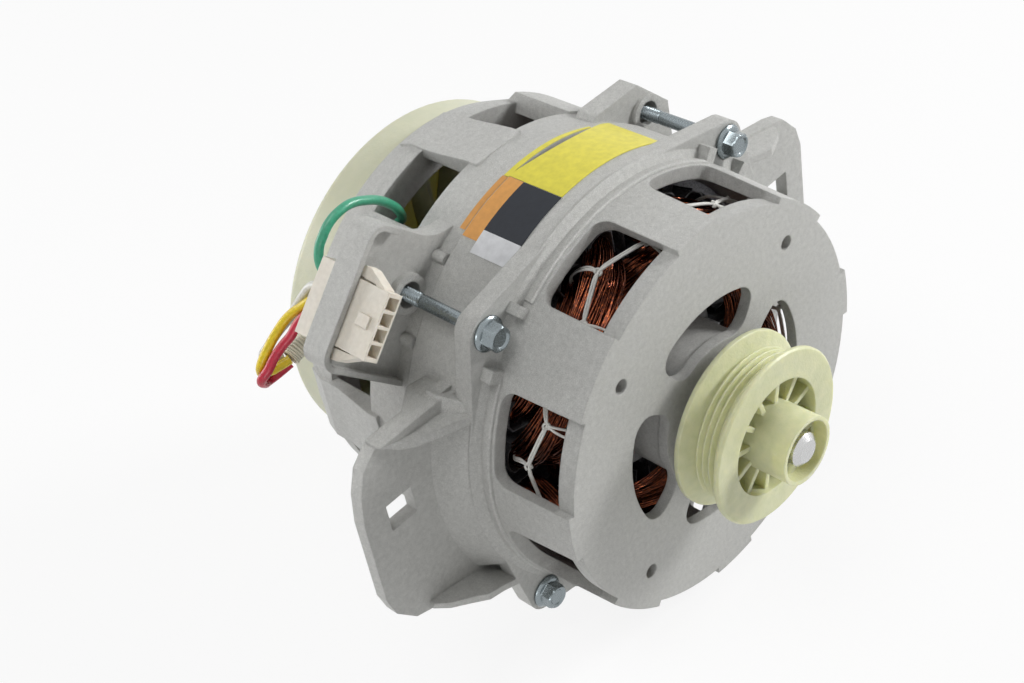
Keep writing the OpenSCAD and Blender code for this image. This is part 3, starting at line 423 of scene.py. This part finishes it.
enamel = surface("enamelled_copper", (0.15, 0.033, 0.01), 0.13, 1.0,
                 Coat_Weight=0.5, Coat_Roughness=0.12)
tint(enamel, clouds(enamel, 5, Detail=3.0),
     (0.32, (0.07, 0.014, 0.006)), (0.5, (0.15, 0.033, 0.01)), (0.68, (0.36, 0.09, 0.022)))
chance = random.Random(7)
strands = [s for c in BOLT_ANGLES for s in bundle(MAIN_STOPS, c, count=46, spread=3.05)]
wires("main_strands", strands, MAIN_WIRE_R, enamel, ("main_winding",))
strands = [s for c in QUARTER_ANGLES for s in bundle(START_STOPS, c, count=28, spread=2.7)]
wires("start_strands", strands, START_WIRE_R, enamel, ("start_winding",))


# The lacing: white polyester cord, laid double and knotted into a net over the front end
# turns, with branches that dip between the bundles behind and wrap over them in front.
CORD_R = 0.42
PAIR_HALF = 0.45
NET_R, NET_ANGLE, NET_Y = 64.9, 3.5, 20.5
KNOT_BACK, KNOT_AHEAD = 3.4, -2.6
KNOT_STEPS = 10


def net_knot(k):
    """Radius, angle and y of a knot; every other one lies farther back."""
    return NET_R, SLOT_STEP * k + NET_ANGLE, NET_Y + (KNOT_BACK if k % 2 else KNOT_AHEAD)


cord_white = surface("lacing_white", (0.82, 0.81, 0.77), 0.7)
braid = field(cord_white, "ShaderNodeTexWave", 0.7, Scale=0.5, Distortion=3.0)
relief(cord_white, braid.outputs["Fac"], 0.12)
tint(cord_white, clouds(cord_white, 2), (0.3, (0.72, 0.71, 0.67)), (0.7, (0.86, 0.85, 0.81)))
lace, knots = [], []
for k in range(SLOTS):
    r, a, y = net_knot(k)
    r2, a2, y2 = net_knot(k + 1)
    for side in (-PAIR_HALF, PAIR_HALF):
        lace.append([polar(r, a, y), polar(r + 0.35, a + 2.5, y + side + (y2 - y) * 0.15),
                     polar((r + r2) / 2 + 0.2, (a + a2) / 2, (y + y2) / 2 + side),
                     polar(r2 + 0.35, a2 - 2.5, y2 + side - (y2 - y) * 0.15),
                     polar(r2, a2, y2)])
        if k % 2:
            lace.append([polar(r, a, y), polar(r - 0.3, a + side, y + 4),
                         polar(r - 1.6, a + 1.5 + side, y + 8),
                         polar(59.5, a + 3 + side, y + 11.5),
                         polar(55.0, a + 4 + side, y + 12.5)])
        else:
            lace.append([polar(r, a, y), polar(r - 0.2, a + side * 1.6, y - 4),
                         polar(r - 1.6, a + side * 2.6, 10.2),
                         polar(60.5, a + side * 2.8, 7.6), polar(56.0, a + side * 3, 6.9),
                         polar(52.0, a + side * 3, 8.4), polar(50.6, a + side * 3, 13.0)])
    knots.append([polar(r + 0.15 + 0.75 * math.cos(t / 2), a + 0.9 * math.cos(t),
                        y + 0.95 * math.sin(t))
                  for t in [i * math.tau / KNOT_STEPS for i in range(KNOT_STEPS + 1)]])
wires("lacing_net", [eased(run, 4) for run in lace], CORD_R, cord_white,
      ("lacing_cord",), sides=2)
wires("lacing_knots", knots, CORD_R, cord_white, sides=2)


# The two end shields: die cast aluminium, tumbled, so that their skin is a fine bright
# sparkle with softened edges. The CAD solids carry their shape.
SPARKLE_SHARE = 0.7
casting = surface("cast_aluminium", (0.52, 0.52, 0.50), 0.45, 0.3)
relief(casting, clouds(casting, 0.55, Detail=4.0, Roughness=0.7), 0.26, round_edge=0.9)
grain = lay_out(casting.node_tree, "ShaderNodeMix", Factor=SPARKLE_SHARE)
casting.node_tree.links.new(clouds(casting, 9, Detail=6.0, Roughness=0.72), grain.inputs["A"])
casting.node_tree.links.new(clouds(casting, 1.0, Detail=2.0, Roughness=0.6), grain.inputs["B"])
tint(casting, grain.outputs["Result"], (0.37, (0.37, 0.37, 0.355)), (0.5, (0.50, 0.50, 0.48)),
     (0.63, (0.65, 0.65, 0.625)))
tint(casting, clouds(casting, 0.8, Detail=2.0), (0.35, 0.56), (0.68, 0.30), into="Roughness")
dress(casting, "front_shield", "rear_shield")


# The four through bolts: M5 steel, zinc plated, with a flanged hexagon head, a plain shank
# and a rolled thread that screws into the rear bosses.
BOLT_CIRCLE = 83.0
BOLT_SIDES = 48


def ring_loft(rings):
    """Skin over rings of points, closed by a face at both ends."""
    n = len(rings[0])
    verts = [p for ring in rings for p in ring]
    faces = [(i * n + k, i * n + (k + 1) % n, (i + 1) * n + (k + 1) % n, (i + 1) * n + k)
             for i in range(len(rings) - 1) for k in range(n)]
    faces += [tuple(range(n)), tuple(range((len(rings) - 1) * n, len(rings) * n))]
    return verts, faces


def bolt_rings():
    """Rings of points round the y axis, from the dished top of the head to the thread's end."""
    def ring(radius_at, y, n=BOLT_SIDES):
        return [Vector((radius_at(360 * k / n) * math.cos(math.tau * k / n), y,
                        radius_at(360 * k / n) * math.sin(math.tau * k / n))) for k in range(n)]

    def hexagon(across, cap):
        return lambda a: min(across / 2 / math.cos(math.radians((a + 15) % 60 - 30)), cap)

    def plain(r):
        return lambda a: r

    dish = [(2.6, 30.55), (3.1, 30.2), (3.55, 30.0)]
    hexagons = [(7.9, 4.0, 30.15), (8, 4.35, 30.55), (8, math.inf, 31.1), (8, math.inf, 34.0),
                (8.2, math.inf, 34.3)]
    flange = [(5.0, 34.5), (5.75, 34.9), (6.0, 35.2), (6.0, 35.8), (5.8, 36.0)]
    shank = [(2.35, 36.05), (2.35, 64.0)]
    rings = [ring(plain(r), y) for r, y in dish]
    rings += [ring(hexagon(across, cap), y) for across, cap, y in hexagons]
    rings += [ring(plain(r), y) for r, y in flange + shank]

    pitch, per_pitch, count, run_out = 0.8, 5, 106, 8
    thread_y, core_r, thread_depth = 64.4, 2.12, 0.38
    for i in range(count):
        y = thread_y + i * pitch / per_pitch
        fade = min(1, i / run_out, (count - 1 - i) / run_out)

        def crest(a, y=y, fade=fade):
            f = ((y / pitch) + a / 360) % 1
            return core_r + thread_depth * (1 - abs(2 * f - 1)) * fade

        rings.append(ring(crest, y))
    return rings


zinc = surface("zinc_plate", (0.25, 0.285, 0.30), 0.24, 1.0)
relief(zinc, clouds(zinc, 1.2, Detail=4.0), 0.01, round_edge=0.12)
tint(zinc, clouds(zinc, 2.5, Detail=4.0), (0.35, 0.16), (0.7, 0.36), into="Roughness")
verts, faces = ring_loft(bolt_rings())
bolts = []
for a in BOLT_ANGLES:
    turned = Matrix.Rotation(math.radians(-a), 3, "Y")
    bolts.append(([turned @ (v + Vector((BOLT_CIRCLE, 0, 0))) for v in verts], faces))
solid("bolts", gathered(bolts), zinc, ("through_bolts",), smooth=28)


# The bearings: ground and honed steel rings and balls with a moulded cage, and a spring washer
# behind the rear one. They sit in bores of the shields and on the shaft.
ground = surface("ground_steel", (0.6, 0.6, 0.61), 0.2, 1.0)
relief(ground, clouds(ground, 0.6, (1, 0.1, 1)), 0.02)
tint(ground, clouds(ground, 6), (0.3, 0.15), (0.7, 0.3), into="Roughness")
cage_nylon = surface("cage_nylon", (0.16, 0.09, 0.035), 0.5)
relief(cage_nylon, clouds(cage_nylon, 0.5), 0.05)
tint(cage_nylon, clouds(cage_nylon, 3), (0.3, (0.12, 0.07, 0.03)), (0.7, (0.2, 0.12, 0.05)))
for bearing in ("front_bearing", "rear_bearing"):
    dress(ground, bearing + "_outer_ring", bearing + "_inner_ring", bearing + "_balls")
    dress(cage_nylon, bearing + "_cage")
dress(ground, "wave_washer")


# The shaft and the rotor: a ground steel shaft with chamfered ends, and a cage cast in
# aluminium into the rotor stack, its end rings and blades left as cast.
turned_steel = surface("turned_steel", (0.58, 0.58, 0.58), 0.26, 1.0)
feed = field(turned_steel, "ShaderNodeTexWave", 0.4, Scale=0.5, Distortion=0.6)
feed.wave_type = "RINGS"
feed.rings_direction = "Y"
relief(turned_steel, feed.outputs["Fac"], 0.003, round_edge=0.3)
tint(turned_steel, clouds(turned_steel, 3), (0.3, 0.2), (0.7, 0.34), into="Roughness")
dress(turned_steel, "shaft")
cage_cast = surface("cage_casting", (0.4, 0.4, 0.4), 0.5, 0.3)
relief(cage_cast, clouds(cage_cast, 0.8, Detail=4.0), 0.15, round_edge=0.5)
tint(cage_cast, clouds(cage_cast, 5), (0.3, (0.33, 0.33, 0.33)), (0.7, (0.45, 0.45, 0.45)))
dress(cage_cast, "rotor_cage")


# The pulley and the fan: moulded in natural nylon, pale yellow-green, waxy and slightly
# translucent. The pulley is pressed on the shaft, the fan held by a spring clip.
nylon = surface("natural_nylon", (0.66, 0.68, 0.42), 0.4, Subsurface_Weight=0.55,
                Subsurface_Radius=(1.0, 0.9, 0.5), Subsurface_Scale=0.004)
relief(nylon, clouds(nylon, 4, Detail=3.0), 0.12, round_edge=0.6)
tint(nylon, clouds(nylon, 16, Detail=4.0),
     (0.3, (0.60, 0.62, 0.39)), (0.55, (0.65, 0.66, 0.43)), (0.75, (0.69, 0.69, 0.45)))
dress(nylon, "pulley")
fan_nylon = surface("fan_nylon", (0.66, 0.67, 0.5), 0.42, Subsurface_Weight=0.45,
                    Subsurface_Radius=(1.0, 0.9, 0.6), Subsurface_Scale=0.004)
relief(fan_nylon, clouds(fan_nylon, 5, Detail=3.0), 0.12, round_edge=0.8)
tint(fan_nylon, clouds(fan_nylon, 20, Detail=4.0),
     (0.3, (0.65, 0.66, 0.49)), (0.7, (0.69, 0.69, 0.52)))
dress(fan_nylon, "fan")
dress(ground, "fan_clip")


# The connector: a cream nylon housing pushed through the tray until its spring wings open,
# with four tinned contacts deep in its cavities.
cream = surface("cream_nylon", (0.76, 0.71, 0.62), 0.42, Subsurface_Weight=0.2,
                Subsurface_Radius=(1.0, 0.8, 0.6), Subsurface_Scale=0.0015)
relief(cream, clouds(cream, 0.7, Detail=2.0), 0.03, round_edge=0.35)
tint(cream, clouds(cream, 8), (0.3, (0.72, 0.67, 0.58)), (0.7, (0.79, 0.74, 0.65)))
dress(cream, "connector_housing")
tinned = surface("tinned_brass", (0.6, 0.56, 0.46), 0.3, 1.0)
relief(tinned, clouds(tinned, 0.8), 0.03)
tint(tinned, clouds(tinned, 2), (0.3, 0.22), (0.7, 0.42), into="Roughness")
dress(tinned, "connector_terminals", "earth_tag")
dress(zinc, "earth_screw")


# The leads: four stranded copper leads in coloured plastic. Green goes over the tray to the
# earth tag; yellow, red and white turn back together into the sleeve.
def shade(colour, factor):
    return tuple(c * factor for c in colour)


def insulation(name, colour):
    m = surface(name, colour, 0.36, Coat_Weight=0.15)
    relief(m, clouds(m, 1.6, Detail=2.0), 0.06)
    tint(m, clouds(m, 5), (0.3, shade(colour, 0.86)), (0.7, shade(colour, 1.1)))
    return m


LEAD_R = 1.6


def lead(name, route, m, stands_for):
    curve = bpy.data.curves.new(name, "CURVE")
    curve.dimensions = "3D"
    curve.bevel_depth = LEAD_R / 1000
    curve.bevel_resolution = 5
    curve.resolution_u = 8
    curve.use_fill_caps = True
    line = curve.splines.new("BEZIER")
    line.bezier_points.add(len(route) - 1)
    for p, v in zip(line.bezier_points, route):
        p.co = Vector(v) / 1000
        p.handle_left_type = p.handle_right_type = "AUTO"
    curve.materials.append(m)
    o = placed(name, curve, (stands_for,))


lead("lead_green",
     [(-75.3, 85, 72.2), (-75.3, 88.6, 72.2), (-74.6, 90.8, 73.8), (-72.6, 92.2, 77.4),
      (-70, 92, 81), (-66, 92, 84), (-61, 92, 85.3), (-56, 92.5, 84.6), (-50.5, 93, 82),
      (-44.8, 94, 78), (-40, 95, 73), (-36.2, 97, 67.6), (-33.6, 99.5, 62), (-32.9, 102.5, 58.6),
      (-34.6, 105.5, 56.1), (-34.6, 108.1, 56.1)],
     insulation("green_plastic", (0.05, 0.34, 0.20)), "earth_lead")
lead("lead_yellow",
     [(-82.5, 85, 65), (-82.5, 88.7, 65), (-84.6, 92.2, 62.6), (-88.3, 95.8, 59.5),
      (-93.5, 97.4, 55.5), (-97.5, 98, 52), (-101, 98.7, 48), (-101.6, 99.7, 44.8),
      (-100, 101.3, 42), (-97.5, 101, 41), (-94.5, 100.2, 41.2), (-90.6, 98.9, 41.9)],
     insulation("yellow_plastic", (0.80, 0.60, 0.012)), "yellow_lead")
lead("lead_red",
     [(-86.1, 85, 61.5), (-86.1, 88.7, 61.5), (-88.4, 91.1, 59), (-91.7, 92.4, 55.4),
      (-94.6, 93.8, 53), (-98.1, 94.8, 50.2), (-101.6, 95.3, 46.9), (-103.9, 96.8, 44),
      (-101.7, 99.5, 39.6), (-98.8, 102.2, 37.1), (-94.5, 101.8, 37.5), (-90, 100.7, 38.9)],
     insulation("red_plastic", (0.52, 0.01, 0.04)), "red_lead")
lead("lead_white",
     [(-79, 85, 68.7), (-79, 88.7, 68.7), (-79.6, 91.8, 67.4), (-81.8, 94.6, 63.7),
      (-83.8, 97.2, 59.5), (-86.1, 99.6, 55.6), (-90.6, 102.2, 51.2), (-94.2, 103.8, 47.5),
      (-96.5, 104.6, 44.5), (-94.8, 103.9, 42.2), (-90.7, 102.5, 41.9)],
     insulation("white_plastic", (0.72, 0.71, 0.66)), "white_lead")


# The sleeve: varnished woven glass, cream, with a fine ring of ribs. It takes the three leads
# from their loop through the rear window to the end turns.
SLEEVE_R, SLEEVE_RIB, SLEEVE_FLATTENED = 3.3, 0.22, 0.92
SLEEVE_SIDES, SLEEVE_CUTS, CUTS_PER_RIB = 24, 24, 4
SLEEVE_WALL, MOUTH_CUTS = 0.22, 8
woven = surface("woven_sleeve", (0.86, 0.83, 0.68), 0.6)
weave = field(woven, "ShaderNodeTexWave", 0.6, Scale=0.5, Distortion=2.0)
relief(woven, weave.outputs["Fac"], 0.15)
tint(woven, clouds(woven, 1.5), (0.3, (0.80, 0.77, 0.62)), (0.7, (0.90, 0.87, 0.74)))
centre = eased([Vector(v) for v in (
    (-89.5, 100.5, 41), (-84.5, 100.5, 42.3), (-79.5, 100.3, 41.5), (-75, 99.5, 37),
    (-70.5, 98.5, 31), (-66, 97, 27), (-62, 96, 24.5))], SLEEVE_CUTS)
rings = []
for i, p in enumerate(centre):
    ahead = heading(centre, i)
    up = Vector((0, 1, 0))
    up = (up - up.dot(ahead) * ahead).normalized()
    side = ahead.cross(up)
    r = SLEEVE_R + SLEEVE_RIB * math.sin(i * math.tau / CUTS_PER_RIB)
    rings.append([p + up * r * math.cos(math.tau * k / SLEEVE_SIDES)
                  + side * r * SLEEVE_FLATTENED * math.sin(math.tau * k / SLEEVE_SIDES)
                  for k in range(SLEEVE_SIDES)])
mouth = [p + (centre[0] - p) * SLEEVE_WALL for p in rings[0]]
inside = [p + (centre[MOUTH_CUTS] - centre[0]) + (centre[0] - p) * SLEEVE_WALL for p in rings[0]]
solid("sleeve", ring_loft([inside, mouth] + rings), woven, ("lead_sleeve",),
      smooth=60)


# The labels: thin coloured film stuck on the skirt and lapped over the joint of the shields.
# Each field is a piece of its own in one plain colour.
SKIRT_R, RIM_R, FILM_T = 77.83, 77.03, 0.22
LABEL_FRONT, FIELD_EDGE, RIM_FRONT = 44.0, 60.3, 67.6
YELLOW_END, LABEL_SEAM, WHITE_FROM = 98.8, 99, 114.3
NOTCH_R, NOTCH_Y, NOTCH_ANGLE, NOTCH_SKIRT_R = 80, 144.1, 82, 77.9
YELLOW_REAR = 66.9


def film(name, a0, a1, front, rear, m, r=SKIRT_R, stands_for=(), steps=26):
    """A sheet round the shaft axis from angle a0 to a1, its edges given over the angle."""
    verts, faces = [], []
    for i in range(steps + 1):
        a = a0 + (a1 - a0) * i / steps
        for y in (front(a), rear(a)):
            verts += [polar(r, a, y), polar(r + FILM_T, a, y)]
    for i in range(steps):
        b = 4 * i
        faces += [(b + 1, b + 3, b + 7, b + 5), (b, b + 4, b + 6, b + 2),
                  (b, b + 1, b + 5, b + 4), (b + 2, b + 6, b + 7, b + 3)]
    faces += [(0, 2, 3, 1), (4 * steps, 4 * steps + 1, 4 * steps + 3, 4 * steps + 2)]
    solid(name, (verts, faces), m, stands_for)


def level(y):
    return lambda a: y


def along(stops):
    """An edge that runs straight from stop to stop: (angle, y) pairs."""
    def at(a):
        for (a0, v0), (a1, v1) in zip(stops, stops[1:]):
            if a <= a1:
                return v0 + (v1 - v0) * max(0.0, (a - a0) / (a1 - a0))
        return stops[-1][1]
    return at


def notched(a):
    """The rear edge with a shallow round notch in its middle."""
    off = NOTCH_SKIRT_R * math.sin(math.radians(a - NOTCH_ANGLE))
    return min(YELLOW_REAR, NOTCH_Y - math.sqrt(NOTCH_R ** 2 - off ** 2))


def film_surface(name, colour, rough=0.35, **more):
    m = surface(name, colour, rough, **more)
    relief(m, clouds(m, 3), 0.04)
    tint(m, clouds(m, 12, Detail=4.0), (0.3, shade(colour, 0.9)), (0.7, shade(colour, 1.06)))
    return m


yellow_film = film_surface("yellow_film", (0.76, 0.68, 0.07))
orange_film = film_surface("orange_film", (0.72, 0.34, 0.085))
dark_film = film_surface("dark_film", (0.02, 0.023, 0.03), 0.5, Specular_IOR_Level=0.25)
white_film = film_surface("white_film", (0.72, 0.73, 0.75))
film("label_yellow", 63, YELLOW_END, level(LABEL_FRONT), notched, yellow_film,
     stands_for=("rating_label",), steps=36)
film("label_yellow_rim", 69, YELLOW_END, level(RIM_FRONT),
     along([(69, 68.6), (80, 69.6), (99, 69.6)]), yellow_film, r=RIM_R)
film("label_orange", LABEL_SEAM, 117.5, level(FIELD_EDGE), level(66.6), orange_film,
     stands_for=("colour_label",))
film("label_orange_rim", LABEL_SEAM, 116, level(RIM_FRONT), level(69.9), orange_film,
     r=RIM_R)
film("label_dark", LABEL_SEAM, WHITE_FROM, level(LABEL_FRONT), level(FIELD_EDGE), dark_film)
film("label_white", WHITE_FROM, 120.5, level(LABEL_FRONT), level(FIELD_EDGE), white_film)


# The thermal protector: a small switch in a black case, strapped to the rear end turns.
# It opens the circuit when the windings get too hot.
black = surface("black_case", (0.02, 0.02, 0.022), 0.4)
relief(black, clouds(black, 0.8), 0.05, round_edge=0.5)
tint(black, clouds(black, 6), (0.3, (0.015, 0.015, 0.017)), (0.7, (0.03, 0.03, 0.033)))
dress(black, "thermal_protector")
